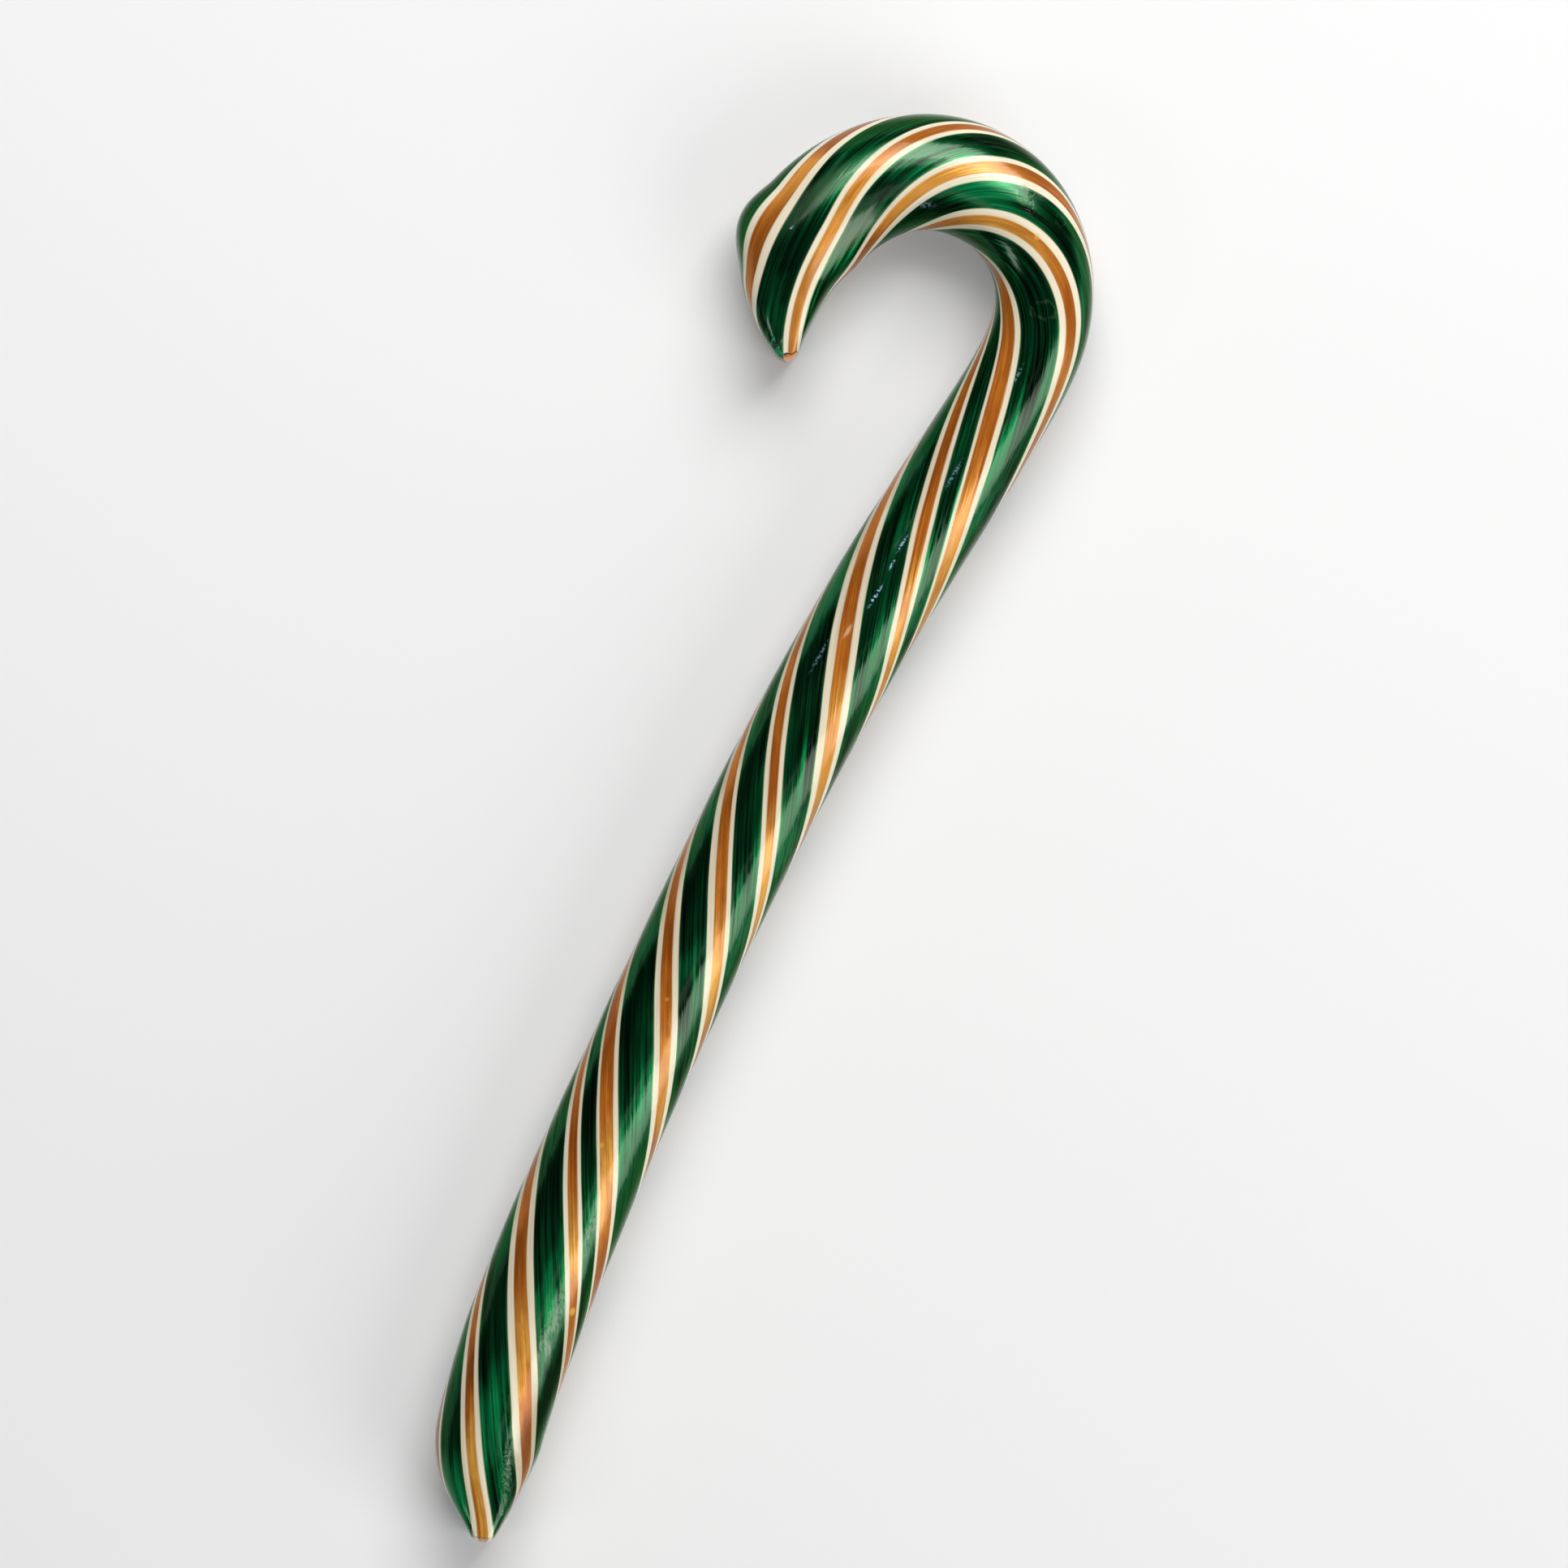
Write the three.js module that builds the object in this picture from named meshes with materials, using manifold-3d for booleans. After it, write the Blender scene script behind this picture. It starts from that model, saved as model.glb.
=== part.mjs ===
// A stick candy with a hooked end: one solid piece of boiled sugar, deep green, with amber stripes
// edged in cream that wind round it. It lies on its side, on the narrow flat that it took from the
// slab while it was warm. Millimetres, +Z up, the straight stick along +Y, the hook turning left.

import * as THREE from "three";
import Module from "manifold-3d";

const wasm = await Module();
wasm.setup();

// ---- Driving dimensions ----------------------------------------------------------------------

// The centre line, measured along itself from the tip of the foot to the tip of the nose.
const LENGTH = 237;

// Which way the candy sets off from the tip of the foot: degrees from +X towards +Y.
const FIRST_HEADING = 111.35;

// How fast the centre line turns at a distance along it: degrees a millimetre, left is positive.
// The foot leans, the stick bows a little, and from 160 mm on the hook is wound round a peg.
const BEND = [
  [0, 3.1], [10, -2.1], [18, -0.57], [30, -0.28], [70, -0.06], [110, -0.11],
  [145, -0.06], [158, 0.19], [166, 0.83], [172, 2.8], [180, 3.6], [190, 3.65],
  [200, 3.75], [208, 3.0], [216, 2.95], [224, 3.85], [230, 1.95], [237, 2.2],
];

// Width of the rolled stick in plan along the centre line, before its ends are cut, and its height
// before the slab flattens it. The bend left it tall and narrow where the hook starts, and broad
// and low towards the nose.
const WIDTH = [
  [0, 12.9], [24, 14.3], [40, 14.3], [62, 13.6], [110, 13.4], [150, 13.4],
  [170, 12.7], [180, 12.8], [194, 14.6], [204, 15.0], [216, 15.4], [237, 15.7],
];
const HEIGHT = [
  [0, 14.1], [24, 14.0], [62, 13.5], [110, 13.8], [150, 13.7], [165, 14.1],
  [180, 14.8], [194, 15.4], [206, 14.8], [220, 14.6], [230, 14.0], [237, 12.8],
];

// Shears cut both ends while they were warm. The blades stood upright and closed from the two
// sides, so each end is a wedge that is as tall as the stick and ends in an upright edge: the
// length of the wedge, and half the thickness of its blunt edge.
const FOOT = { wedge: 14, halfEdge: 1.0 };
const NOSE = { wedge: 19.5, halfEdge: 0.9 };

// How far from a tip its edge starts to be rounded off, in plan and at its top and bottom.
const ROUNDING = 1.0;

// How square the squeezed section of a wedge is: 2 would make it an ellipse, and more keeps its
// top and bottom round while its sides turn flat.
const SQUARENESS = 6;

// The shears left a blunt corner on the outside of the hook, where the nose's wedge begins.
const CORNER = { at: 222, halfLength: 4.5, height: 1.2 };

// How deep the flat underside is cut into the round stick.
const FLAT_DEPTH = 0.3;

// The twist: where the stripes start, in degrees round the stick, and how fast they wind at a
// distance along it, in degrees a millimetre. Angles are seen from the foot, clockwise from +Z.
const FIRST_TWIST = -129.9;
const TWIST = [
  [0, 0.8], [8, 1.5], [16, 2.85], [24, 3.35], [48, 3.9], [75, 3.9], [110, 3.65], [140, 3.05],
  [160, 2.5], [172, 2.6], [182, 3.25], [194, 4.75], [208, 4.15], [214, 3.3], [220, 0.85],
  [226, -1.15], [237, -1.45],
];

// The amber stripes: the middle of each round the stick, its width, and the cream lines that
// edge it on the side of the smaller and of the larger angle, all in degrees. Hand pulled, so
// neither the stripes nor the gaps between them are alike.
const STRIPES = [
  { middle: 1.0, amber: 11.0, creamBefore: 6.1, creamAfter: 4.8 },
  { middle: 42.4, amber: 16.7, creamBefore: 3.6, creamAfter: 6.2 },
  { middle: 113.5, amber: 13.8, creamBefore: 7.4, creamAfter: 7.7 },
  { middle: 176.1, amber: 13.9, creamBefore: 8.0, creamAfter: 5.6 },
  { middle: 231.9, amber: 11.2, creamBefore: 5.9, creamAfter: 5.4 },
  { middle: 296.5, amber: 16.4, creamBefore: 8.6, creamAfter: 8.2 },
];

const AMBER = new THREE.Color(0xc98a3c);
const CREAM = new THREE.Color(0xf3e8cf);
const GREEN = new THREE.Color(0x06401f);

// How finely the surface is faceted: rings along the stick, which crowd towards its tips, and the
// widest column of green between two stripes, in degrees.
const RINGS = 100;
const RING_CROWDING = 0.85;
const WIDEST_COLUMN = 15;

// The steps in which the centre line is added up, and how thick the block is that cuts the flat.
const LINE_STEP = 0.25;
const SLAB_THICKNESS = 5;

// ---- Laws of the shape -----------------------------------------------------------------------

const radians = THREE.MathUtils.degToRad;

// The value of a table of [distance, value] rows at a distance, on a smooth curve through them.
function along(table, distance) {
  const last = table.length - 1;
  const slope = (i) => (table[i + 1][1] - table[i][1]) / (table[i + 1][0] - table[i][0]);
  const tangent = (i) => {
    if (i === 0) return slope(0);
    if (i === last) return slope(last - 1);
    const before = table[i][0] - table[i - 1][0];
    const after = table[i + 1][0] - table[i][0];
    return (slope(i - 1) * after + slope(i) * before) / (before + after);
  };
  let i = 0;
  while (i < last - 1 && distance >= table[i + 1][0]) i += 1;
  const span = table[i + 1][0] - table[i][0];
  const t = (distance - table[i][0]) / span;
  return table[i][1] * (1 + 2 * t) * (1 - t) ** 2
    + tangent(i) * span * t * (1 - t) ** 2
    + table[i + 1][1] * t * t * (3 - 2 * t)
    + tangent(i + 1) * span * t * t * (t - 1);
}

// How far a wedge has widened, from 0 at its edge to 1 where it meets the full stick.
function widening(fromTip, wedge) {
  return Math.sin(radians(90) * Math.min(1, fromTip / wedge));
}

// The quarter rounds that close the tips, from 0 at a tip to 1 where its rounding starts.
function roundingAt(distance) {
  const t = Math.min(1, Math.min(distance, LENGTH - distance) / ROUNDING);
  return Math.sqrt(1 - (1 - t) ** 2);
}

// Half the width in plan at a distance along the stick.
function halfWidthAt(distance) {
  const full = along(WIDTH, distance) / 2;
  const toNose = LENGTH - distance;
  const footed = THREE.MathUtils.lerp(FOOT.halfEdge, full, widening(distance, FOOT.wedge));
  const cut = THREE.MathUtils.lerp(NOSE.halfEdge, footed, widening(toNose, NOSE.wedge));
  return cut * roundingAt(distance);
}

// Half the height at a distance along the stick, before the slab flattens it.
function halfHeightAt(distance) {
  return along(HEIGHT, distance) / 2 * roundingAt(distance);
}

// How far the surface is from the centre line, at a distance along it and an angle from +Z. The
// section is the round stick, squeezed from both sides to its width.
function radiusAt(distance, angle) {
  const height = halfHeightAt(distance);
  if (height === 0) return 0;
  const squeeze = (height / halfWidthAt(distance)) ** SQUARENESS - 1;
  const sideways = Math.abs(Math.sin(angle)) ** SQUARENESS;
  return height * (1 + squeeze * sideways) ** (-1 / SQUARENESS);
}

// Height of the centre line over the slab.
function heightAt(distance) {
  return along(HEIGHT, distance) / 2 - FLAT_DEPTH;
}

// How far the blunt corner stands out, at a distance and an angle round the stick.
function cornerAt(distance, angle) {
  const t = Math.min(1, Math.abs(distance - CORNER.at) / CORNER.halfLength);
  const outwards = Math.max(0, Math.sin(angle));
  return CORNER.height * (1 - t * t) ** 2 * outwards ** 2;
}

// The centre line and the twist, added up step by step from the foot.
const line = [{ x: 0, y: 0, heading: FIRST_HEADING, twist: FIRST_TWIST }];
for (let step = 1; step <= LENGTH / LINE_STEP; step += 1) {
  const before = line[step - 1];
  const middle = (step - 0.5) * LINE_STEP;
  const turned = along(BEND, middle) * LINE_STEP;
  const course = radians(before.heading + turned / 2);
  line.push({
    x: before.x + Math.cos(course) * LINE_STEP,
    y: before.y + Math.sin(course) * LINE_STEP,
    heading: before.heading + turned,
    twist: before.twist + along(TWIST, middle) * LINE_STEP,
  });
}

// The centre line's place, heading and twist at any distance.
function lineAt(distance) {
  const step = Math.min(distance / LINE_STEP, line.length - 1);
  const before = line[Math.floor(step)];
  const after = line[Math.ceil(step)];
  const between = (key) => THREE.MathUtils.lerp(before[key], after[key], step % 1);
  return { x: between("x"), y: between("y"), heading: between("heading"), twist: between("twist") };
}

// A point of the surface, before the slab flattens it.
function surfaceAt(distance, roundTheStick) {
  const centre = lineAt(distance);
  const angle = radians(roundTheStick - centre.twist);
  const out = radiusAt(distance, angle) + cornerAt(distance, angle);
  const sideways = out * Math.sin(angle);
  const heading = radians(centre.heading);
  return new THREE.Vector3(
    centre.x + sideways * Math.sin(heading),
    centre.y - sideways * Math.cos(heading),
    heightAt(distance) + out * Math.cos(angle),
  );
}

// ---- The facets ------------------------------------------------------------------------------

// A place is three numbers, and so is a colour.
const XYZ = 3;

// Columns run with the twist, one for each cream line and amber stripe and a few for each gap of
// green, so that every colour ends on the edge of a column.
function coloredColumns() {
  const columns = [];
  STRIPES.forEach((stripe, i) => {
    const next = STRIPES[(i + 1) % STRIPES.length];
    const turn = i + 1 === STRIPES.length ? 360 : 0;
    const left = stripe.middle - stripe.amber / 2;
    const right = stripe.middle + stripe.amber / 2;
    const greenFrom = right + stripe.creamAfter;
    const greenTo = next.middle + turn - next.amber / 2 - next.creamBefore;
    const greens = Math.ceil((greenTo - greenFrom) / WIDEST_COLUMN);
    columns.push({ from: left - stripe.creamBefore, color: CREAM });
    columns.push({ from: left, color: AMBER });
    columns.push({ from: stripe.middle, color: AMBER });
    columns.push({ from: right, color: CREAM });
    for (let k = 0; k < greens; k += 1) {
      columns.push({ from: THREE.MathUtils.lerp(greenFrom, greenTo, k / greens), color: GREEN });
    }
  });
  return columns;
}

// Where ring number ring of the stick lies along it: the rings crowd towards both tips.
function ringAt(ring) {
  const t = ring / (RINGS - 1);
  return LENGTH * (t - RING_CROWDING * Math.sin(2 * Math.PI * t) / (2 * Math.PI));
}

// The whole candy, round all along. It starts as a straight turned stick with closed ends, and each
// vertex is then moved to its place on the twisted and bent one.
function roundCandy() {
  const columns = coloredColumns();
  const profile = [];
  for (let ring = 0; ring < RINGS; ring += 1) {
    profile.push(new THREE.Vector2(halfHeightAt(ringAt(ring)), ringAt(ring)));
  }
  const stick = new THREE.LatheGeometry(profile, columns.length);
  const place = stick.getAttribute("position");
  for (let column = 0; column <= columns.length; column += 1) {
    const roundTheStick = columns[column % columns.length].from;
    for (let ring = 0; ring < RINGS; ring += 1) {
      const point = surfaceAt(ringAt(ring), roundTheStick);
      place.setXYZ(column * RINGS + ring, point.x, point.y, point.z);
    }
  }
  const facets = stick.toNonIndexed();
  const cornersInColumn = facets.getAttribute("position").count / columns.length;
  return painted(facets, (corner) => columns[Math.floor(corner / cornersInColumn)].color);
}

// The slab that the warm candy lay on: a block whose top is the floor of the part.
function slab() {
  const side = 2 * LENGTH;
  const block = new THREE.BoxGeometry(side, side, SLAB_THICKNESS).translate(0, 0, -SLAB_THICKNESS / 2);
  return painted(block.toNonIndexed(), () => GREEN);
}

// Gives every corner of a geometry the colour that colorOf says.
function painted(geometry, colorOf) {
  const colors = [];
  for (let corner = 0; corner < geometry.getAttribute("position").count; corner += 1) {
    colors.push(...colorOf(corner).toArray());
  }
  return geometry.setAttribute("color", new THREE.Float32BufferAttribute(colors, XYZ));
}

// A closed painted geometry as a solid that can be cut. Each corner carries its place and then its
// colour, and the corners that meet at a place are joined.
function solidOf(geometry) {
  const place = geometry.getAttribute("position");
  const color = geometry.getAttribute("color");
  const numProp = place.itemSize + color.itemSize;
  const vertProperties = new Float32Array(numProp * place.count);
  const triVerts = new Uint32Array(place.count);
  for (let corner = 0; corner < place.count; corner += 1) {
    const start = numProp * corner;
    vertProperties.set([place.getX(corner), place.getY(corner), place.getZ(corner)], start);
    vertProperties.set([color.getX(corner), color.getY(corner), color.getZ(corner)], start + XYZ);
    triVerts[corner] = corner;
  }
  const mesh = new wasm.Mesh({ numProp, vertProperties, triVerts });
  mesh.merge();
  return new wasm.Manifold(mesh);
}

// The solid as a painted geometry again, with its bounding box centred on the origin in plan.
function geometryOf(solid) {
  const mesh = solid.getMesh();
  const corners = new THREE.InterleavedBuffer(mesh.vertProperties, mesh.numProp);
  const indexed = new THREE.BufferGeometry();
  indexed.setAttribute("position", new THREE.InterleavedBufferAttribute(corners, XYZ, 0));
  indexed.setAttribute("color", new THREE.InterleavedBufferAttribute(corners, XYZ, XYZ));
  indexed.setIndex(new THREE.BufferAttribute(mesh.triVerts, 1));
  const faceted = indexed.toNonIndexed();
  faceted.computeVertexNormals();
  faceted.computeBoundingBox();
  const middle = faceted.boundingBox.getCenter(new THREE.Vector3());
  return faceted.translate(-middle.x, -middle.y, 0);
}

const settled = solidOf(roundCandy()).subtract(solidOf(slab()));
const sugar = new THREE.MeshStandardMaterial({ vertexColors: true, roughness: 0.15, metalness: 0 });
const cane = new THREE.Mesh(geometryOf(settled), sugar);
cane.name = "candy_cane";

const part = new THREE.Group();
part.add(cane);

export default part;
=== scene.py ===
# %% [markdown]
# # A candy cane, lying on its side
#
# A stick of boiled sugar is pulled and rolled while it is warm. Ropes of amber sugar, each wrapped
# in a thin skin of white pulled sugar, are laid along a thick rope of deep green, and the bundle is
# rolled, twisted and bent over a peg. Shears cut both its ends to a wedge.
#
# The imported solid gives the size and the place. This file makes the same stick finer, from the same
# measures, and gives it its colours, its shine and the marks of the work.

import math

import bmesh
import bpy
import numpy as np
from mathutils import Matrix, Vector


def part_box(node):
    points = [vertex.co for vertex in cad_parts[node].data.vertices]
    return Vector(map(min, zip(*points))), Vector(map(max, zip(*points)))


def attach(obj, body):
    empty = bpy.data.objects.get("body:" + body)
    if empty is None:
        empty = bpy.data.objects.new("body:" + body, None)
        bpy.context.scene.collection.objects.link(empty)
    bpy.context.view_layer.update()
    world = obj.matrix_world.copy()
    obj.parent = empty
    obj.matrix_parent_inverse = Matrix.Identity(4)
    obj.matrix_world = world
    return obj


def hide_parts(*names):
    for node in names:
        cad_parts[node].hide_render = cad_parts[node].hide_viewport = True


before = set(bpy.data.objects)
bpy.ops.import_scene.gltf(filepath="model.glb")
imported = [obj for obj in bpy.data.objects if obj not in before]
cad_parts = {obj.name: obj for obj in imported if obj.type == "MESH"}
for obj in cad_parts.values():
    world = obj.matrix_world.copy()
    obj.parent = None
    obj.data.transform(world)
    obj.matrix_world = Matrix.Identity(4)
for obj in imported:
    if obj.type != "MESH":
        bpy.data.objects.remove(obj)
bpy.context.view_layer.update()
solid_low, solid_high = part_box("candy_cane")
print("the solid is", [round(1000 * c, 2) for c in solid_high - solid_low], "mm")

MM = 0.001

# %% [markdown]
# ## The measures of the stick
#
# Everything about the shape follows from a few laws along the centre line: how fast it bends, how
# thick it is and how fast it is twisted. Each law is a short list of distances and values, and a
# smooth curve through them gives every place between. A drawing of the outline would also do, but
# the laws are what the maker's hands did, so an even change of one number stays believable.

# %% The laws along the centre line
LENGTH = 237.0  # mm, from the tip of the foot to the tip of the nose
FIRST_HEADING = 111.35  # degrees from +X towards +Y, at the foot

# Degrees of turn a millimetre, left is positive.
BEND = [
    (0, 3.1), (10, -2.1), (18, -0.57), (30, -0.28), (70, -0.06), (110, -0.11),
    (145, -0.06), (158, 0.19), (166, 0.83), (172, 2.8), (180, 3.6), (190, 3.65),
    (200, 3.75), (208, 3.0), (216, 2.95), (224, 3.85), (230, 1.95), (237, 2.2),
]
# Millimetres across the rolled stick in plan, before its ends are cut, and its height before the
# slab flattens it.
WIDTH = [
    (0, 12.9), (24, 14.3), (40, 14.3), (62, 13.6), (110, 13.4), (150, 13.4),
    (170, 12.7), (180, 12.8), (194, 14.6), (204, 15.0), (216, 15.4), (237, 15.7),
]
HEIGHT = [
    (0, 14.1), (24, 14.0), (62, 13.5), (110, 13.8), (150, 13.7), (165, 14.1),
    (180, 14.8), (194, 15.4), (206, 14.8), (220, 14.6), (230, 14.0), (237, 12.8),
]
# Degrees of twist a millimetre.
FIRST_TWIST = -129.9
TWIST = [
    (0, 0.8), (8, 1.5), (16, 2.85), (24, 3.35), (48, 3.9), (75, 3.9), (110, 3.65), (140, 3.05),
    (160, 2.5), (172, 2.6), (182, 3.25), (194, 4.75), (208, 4.15), (214, 3.3), (220, 0.85),
    (226, -1.15), (237, -1.45),
]


def along(law, distance):
    """The values of a law at these distances, on a smooth curve through its points."""
    at, value = np.array(law, float).T
    slope = np.diff(value) / np.diff(at)
    before, after = np.diff(at)[:-1], np.diff(at)[1:]
    inner = (slope[:-1] * after + slope[1:] * before) / (before + after)
    tangent = np.concatenate([slope[:1], inner, slope[-1:]])
    i = np.clip(np.searchsorted(at, distance, side="right") - 1, 0, len(at) - 2)
    span = at[i + 1] - at[i]
    t = (distance - at[i]) / span
    return (
        value[i] * (1 + 2 * t) * (1 - t) ** 2
        + tangent[i] * span * t * (1 - t) ** 2
        + value[i + 1] * t * t * (3 - 2 * t)
        + tangent[i + 1] * span * t * t * (t - 1)
    )


print("halfway the stick is", round(float(along(WIDTH, LENGTH / 2)), 1), "mm thick")

# %% [markdown]
# ## The ends and the underside
#
# The shears squeeze the warm stick from both sides, so an end is narrow as seen from above and still
# almost as tall as the stick. Cutting two flat faces off a round end would be simpler, but it leaves
# sharp edges that warm sugar doesn't have. So the width runs out along a quarter of a sine wave, and
# the section changes from a round to a squared one as it is squeezed. A slab pressed the underside
# flat.

# %% The wedges and the flat
# Each end's wedge: how long the shears made it, and half the thickness of its upright edge.
FOOT_WEDGE, FOOT_HALF_EDGE = 14.0, 1.0
NOSE_WEDGE, NOSE_HALF_EDGE = 19.5, 0.9
# How far from a tip its edge starts to be rounded off.
ROUNDING = 1.0
# How square a squeezed section is: 2 would be an ellipse.
SQUARENESS = 6
# The blunt corner on the outside of the hook, where the nose's wedge begins.
CORNER_AT, CORNER_HALF_LENGTH, CORNER_HEIGHT = 222.0, 4.5, 1.2
# How deep the flat underside is.
FLAT_DEPTH = 0.3
# The tips have no section of their own, so their squeeze is read this far inside them.
TIP_GAP = 1e-4


def widening(from_tip, wedge):
    """How far a wedge has widened, from 0 at its edge to 1 where it meets the full stick."""
    return np.sin(math.pi / 2 * np.minimum(1, from_tip / wedge))


def rounding_at(distance):
    """The quarter rounds that close the tips, from 0 at a tip to 1."""
    t = np.minimum(1, np.minimum(distance, LENGTH - distance) / ROUNDING)
    return np.sqrt(np.maximum(0, 1 - (1 - t) ** 2))


def half_width_at(distance):
    """Half the stick's width as seen from above, narrowed by the cuts at both ends."""
    full = along(WIDTH, distance) / 2
    to_nose = LENGTH - distance
    footed = FOOT_HALF_EDGE + (full - FOOT_HALF_EDGE) * widening(distance, FOOT_WEDGE)
    cut = NOSE_HALF_EDGE + (footed - NOSE_HALF_EDGE) * widening(to_nose, NOSE_WEDGE)
    return cut * rounding_at(distance)


def half_height_at(distance):
    """Half the stick's height before the slab flattens it."""
    return along(HEIGHT, distance) / 2 * rounding_at(distance)


def squeeze_at(distance):
    """How much the section is squeezed from both sides, 0 where it is as wide as it is high."""
    inside = np.clip(distance, TIP_GAP, LENGTH - TIP_GAP)
    return (half_height_at(inside) / half_width_at(inside)) ** SQUARENESS - 1


def height_at(distance):
    """The centre line's height over the slab."""
    return along(HEIGHT, distance) / 2 - FLAT_DEPTH


def corner_at(distance):
    """How far the blunt corner stands out from the stick."""
    t = np.minimum(1, np.abs(distance - CORNER_AT) / CORNER_HALF_LENGTH)
    return CORNER_HEIGHT * (1 - t * t) ** 2


print("halfway up its wedge the foot is", round(2 * float(half_width_at(FOOT_WEDGE / 2)), 1), "mm thick")

# %% The centre line, added up from the foot
LINE_STEP = 0.25  # mm
steps = int(LENGTH / LINE_STEP)
middles = (np.arange(steps) + 0.5) * LINE_STEP
turns = along(BEND, middles) * LINE_STEP
line_at = np.arange(steps + 1) * LINE_STEP
line_heading = FIRST_HEADING + np.concatenate([[0], np.cumsum(turns)])
course = np.radians(line_heading[:-1] + turns / 2)
line_x = np.concatenate([[0], np.cumsum(np.cos(course) * LINE_STEP)])
line_y = np.concatenate([[0], np.cumsum(np.sin(course) * LINE_STEP)])
line_twist = FIRST_TWIST + np.concatenate([[0], np.cumsum(along(TWIST, middles) * LINE_STEP)])
print("the stick turns", round(line_heading[-1] - line_heading[0]), "degrees")
print("it twists", round((line_twist[-1] - line_twist[0]) / 360, 2), "times")

# %% [markdown]
# ## The stripes
#
# Six ropes of amber run with the twist, each between two cream lines. None has the width of its
# neighbour, and the green between them is uneven too. They could be ropes of their own, but rolling
# has sunk them flush into the green, so they are colour in one body. An angle round the stick that
# turns with the twist, the phase, says where each stripe lies: it is the same all along a stripe.

# %% The stripes, in degrees of phase
# (middle of the amber, amber, cream before it, cream after it)
STRIPES = [
    (1.0, 11.0, 6.1, 4.8),
    (42.4, 16.7, 3.6, 6.2),
    (113.5, 13.8, 7.4, 7.7),
    (176.1, 13.9, 8.0, 5.6),
    (231.9, 11.2, 5.9, 5.4),
    (296.5, 16.4, 8.6, 8.2),
]
covered = sum(amber + before + after for _, amber, before, after in STRIPES)
print(len(STRIPES), "stripes cover", round(100 * covered / 360), "per cent of the stick")

# %% [markdown]
# ## The stick
#
# On the real candy this is one long body, rolled, twisted and bent. It could be a curve with a round
# bevel, but a bevel gives no say over single rings and columns, and no way to carry the phase to the
# paint. So Geometry Nodes sweep it: a flat grid is laid out, one row of points for each ring, and
# every point looks up its ring on a spine that carries the laws as attributes, and its column on a
# round section that carries the low crown of sugar between the stripes.

# %% The spine that the sweep reads
RINGS = 860
RING_CROWDING = 0.85  # rings crowd towards the tips


def carrier(name, points, **attributes):
    """A loose line of points that carries numbers for a sweep to read."""
    mesh = bpy.data.meshes.new(name)
    mesh.from_pydata([tuple(p) for p in points], [], [])
    for key, values in attributes.items():
        stored = mesh.attributes.new(key, "FLOAT", "POINT")
        stored.data.foreach_set("value", np.asarray(values, np.float32))
    made = bpy.data.objects.new(name, mesh)
    bpy.context.scene.collection.objects.link(made)
    return made


ring_t = np.arange(RINGS) / (RINGS - 1)
ring_at = LENGTH * (ring_t - RING_CROWDING * np.sin(2 * math.pi * ring_t) / (2 * math.pi))
ring_x = np.interp(ring_at, line_at, line_x)
ring_y = np.interp(ring_at, line_at, line_y)
spine = carrier(
    "spine",
    np.stack([ring_x, ring_y, height_at(ring_at)], 1) * MM,
    heading=np.radians(np.interp(ring_at, line_at, line_heading)),
    twist=np.radians(np.interp(ring_at, line_at, line_twist)),
    half_height=half_height_at(ring_at) * MM,
    squeeze=squeeze_at(ring_at),
    corner=corner_at(ring_at) * MM,
    travelled=ring_at / LENGTH,
)
print(RINGS, "rings", round(ring_at[1], 3), "to", round(np.diff(ring_at).max(), 2), "mm apart")

# %% The section that the sweep reads
COLUMNS = 112
CROWN = 0.04  # mm that the green stands proud between the stripes


def crown_at(phase):
    """How proud the sugar stands: a low hump over each gap of green, nothing at the stripes."""
    crown = np.zeros_like(phase)
    for i, (middle, amber, _, cream_after) in enumerate(STRIPES):
        following = STRIPES[(i + 1) % len(STRIPES)]
        start = middle + amber / 2 + cream_after
        end = following[0] - following[1] / 2 - following[2] + (360 if i == len(STRIPES) - 1 else 0)
        t = np.mod(phase - start, 360) / (end - start)
        crown += np.where(t < 1, np.sin(math.pi * np.minimum(t, 1)), 0)
    return crown


column_phase = np.arange(COLUMNS + 1) * 360 / COLUMNS
column_turn = np.radians(column_phase)
section = carrier(
    "section",
    np.stack([np.sin(column_turn), np.cos(column_turn), 0 * column_turn], 1),
    phase=column_turn,
    crown=crown_at(column_phase) * CROWN * MM,
)
print(COLUMNS, "columns", round(360 / COLUMNS, 1), "degrees apart")

# %% [markdown]
# ## One line a node
#
# A tree of nodes can be clicked together by hand, but a script keeps the reasons next to the nodes.
# This helper adds one node in one line and links whatever it is given, so that a tree reads like a
# sum.

# %% The helper


class Tree:
    """Adds nodes to a node tree in one line each."""

    def __init__(self, tree):
        self.tree = tree

    def node(self, kind, inputs=(), **settings):
        """One node, with its inputs linked to sockets or set to plain values."""
        made = self.tree.nodes.new(kind)
        for key, value in settings.items():
            setattr(made, key, value)
        for key, value in dict(inputs).items():
            if isinstance(value, bpy.types.NodeSocket):
                self.tree.links.new(value, made.inputs[key])
            else:
                made.inputs[key].default_value = value
        return made

    def math(self, operation, *values):
        return self.node("ShaderNodeMath", enumerate(values), operation=operation).outputs[0]

    def plus(self, first, second):
        return self.math("ADD", first, second)

    def less(self, first, second):
        return self.math("SUBTRACT", first, second)

    def times(self, first, second):
        return self.math("MULTIPLY", first, second)

    def over(self, first, second):
        return self.math("DIVIDE", first, second)

    def vector(self, operation, *values, output=0):
        made = self.node("ShaderNodeVectorMath", enumerate(values), operation=operation)
        return made.outputs[output]

    def xyz(self, x, y, z):
        return self.node("ShaderNodeCombineXYZ", enumerate((x, y, z))).outputs[0]


# %% [markdown]
# ## The sweep
#
# The sweep is a small tree. Its inputs are the two carriers, the numbers of rings and columns, the
# depth of the hand-rolled unevenness and the finish, so each can be changed without opening it.

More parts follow.
